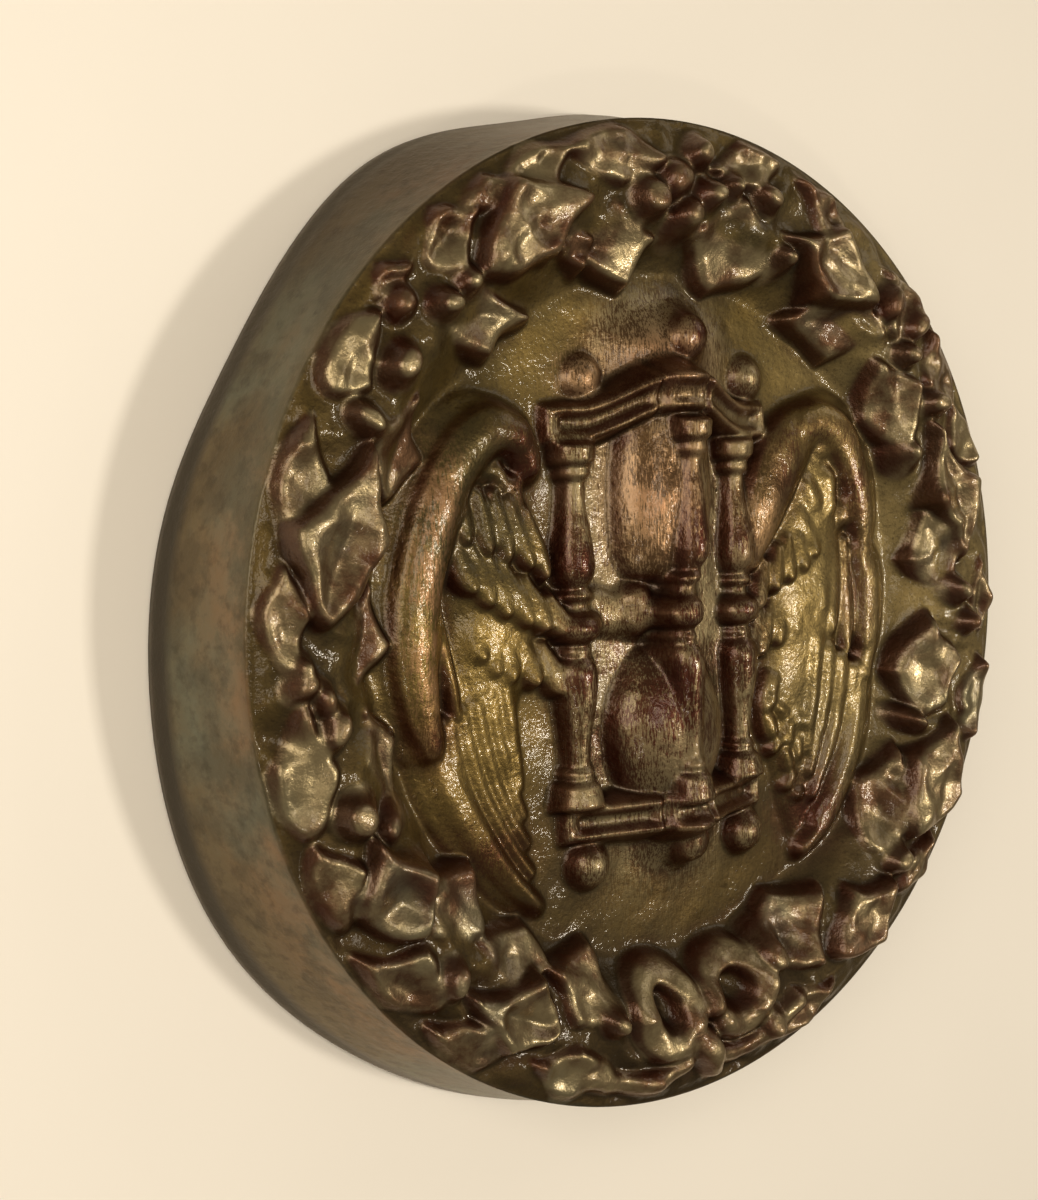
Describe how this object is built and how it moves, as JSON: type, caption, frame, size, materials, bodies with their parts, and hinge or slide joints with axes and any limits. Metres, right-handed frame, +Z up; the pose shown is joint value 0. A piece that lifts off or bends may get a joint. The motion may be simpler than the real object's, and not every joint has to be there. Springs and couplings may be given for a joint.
{
  "type": "relief plaque",
  "caption": "Round patinated copper wall plaque in high relief: a winged hourglass on a plain field inside an ivy wreath tied with a ribbon bow, with a deep side wall and an open back",
  "frame": {"origin": "the mount wall_seat: on the flat seat round the back, at its top, where the plaque bears on the wall", "axes": "+X to the plaque's right seen from in front, +Y into the wall, +Z up; the relief faces -Y"},
  "size_m": [0.4038, 0.063, 0.3999],
  "materials": {
    "patinated_copper": "glossy lacquered red-brown and olive patina over copper"
  },
  "bodies": {
    "root": {"relief_plaque": "patinated_copper"}
  },
  "joints": []
}
